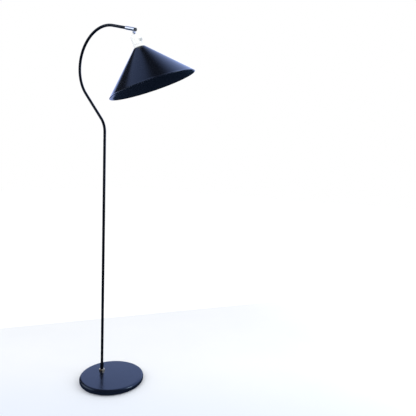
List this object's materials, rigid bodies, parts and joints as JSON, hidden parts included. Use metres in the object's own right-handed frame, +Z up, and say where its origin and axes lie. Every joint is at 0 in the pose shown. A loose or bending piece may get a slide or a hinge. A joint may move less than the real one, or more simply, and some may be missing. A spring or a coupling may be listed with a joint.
{
  "type": "adjustable arm floor lamp",
  "caption": "Floor lamp: weighted round base, upright pole, swan-neck arm that turns on it, and a wide cone shade on a swivelling, tilting lampholder.",
  "frame": {"origin": "on the floor, under the middle of the round base", "axes": "+Z up along the pole, +X the way that the arm reaches at rest, +Y to the left of the arm seen from behind the pole"},
  "size_m": [0.567, 0.3822, 1.5571],
  "materials": {
    "iron_enamel": "gloss",
    "black_enamel": "gloss",
    "black_steel": "satin",
    "zinc_steel": "satin",
    "bright_chrome": "polished",
    "brass": "satin",
    "felt": "matte",
    "black_plastic": "satin",
    "white_plastic": "gloss",
    "grey_plastic": "satin",
    "nylon": "satin",
    "porcelain": "gloss",
    "flex_jacket": "matte",
    "opal_glass": "gloss"
  },
  "bodies": {
    "stand": {"base_disc": "iron_enamel", "base_felt": "felt", "base_plate": "zinc_steel", "plate_screw_1": "zinc_steel", "plate_screw_2": "zinc_steel", "plate_screw_3": "zinc_steel", "flex_clamp": "zinc_steel", "clamp_screw_right": "zinc_steel", "clamp_screw_left": "zinc_steel", "inlet_grommet": "black_plastic", "foot_stud": "zinc_steel", "foot_washer": "zinc_steel", "foot_nut": "zinc_steel", "foot_locknut": "brass", "foot_collar": "black_steel", "pole_tube": "black_steel", "pole_bush": "nylon", "arm_retaining_screw": "black_steel", "pole_flex": "flex_jacket"},
    "arm": {"arm_tube": "black_steel", "arm_spigot": "zinc_steel", "arm_flex": "flex_jacket"},
    "sleeve": {"tip_sleeve": "bright_chrome", "sleeve_grub_screw": "zinc_steel", "sleeve_plug": "black_plastic", "knuckle_yoke": "bright_chrome", "yoke_rivet": "zinc_steel", "pivot_screw_right": "bright_chrome", "pivot_screw_left": "bright_chrome", "sleeve_flex": "flex_jacket"},
    "head": {"knuckle_eye": "bright_chrome", "stem_nut": "zinc_steel", "cover_cap": "white_plastic", "holder_body": "white_plastic", "shade_ring": "white_plastic", "shade": "black_enamel", "holder_insert": "porcelain", "screw_shell": "brass", "centre_contact": "brass", "terminal_screw_rear": "brass", "terminal_screw_front": "brass", "switch_box": "black_plastic", "bulb_contact": "zinc_steel", "bulb_cap": "zinc_steel", "bulb_glass": "opal_glass", "head_flex": "flex_jacket"},
    "knob": {"switch_knob": "grey_plastic"}
  },
  "joints": [
    {"name": "arm_swivel", "type": "hinge", "parent": "stand", "child": "arm", "pos_m": [-0.065, 0, 1.0774], "axis": [0, 0, 1], "range_deg": [-170, 170]},
    {"name": "sleeve_swivel", "type": "hinge", "parent": "arm", "child": "sleeve", "pos_m": [0.10939, 0, 1.50802], "axis": [0.9636, 0, -0.2672], "range_deg": [-118, 82]},
    {"name": "head_tilt", "type": "hinge", "parent": "sleeve", "child": "head", "pos_m": [0.09551, 0.00367, 1.50028], "axis": [0.0835, 0.95, 0.301], "range_deg": [-25, 48]},
    {"name": "knob_turn", "type": "hinge", "parent": "head", "child": "knob", "pos_m": [0.12417, 0.01075, 1.46998], "axis": [0.9676, -0.1495, 0.2036], "continuous": true}
  ]
}
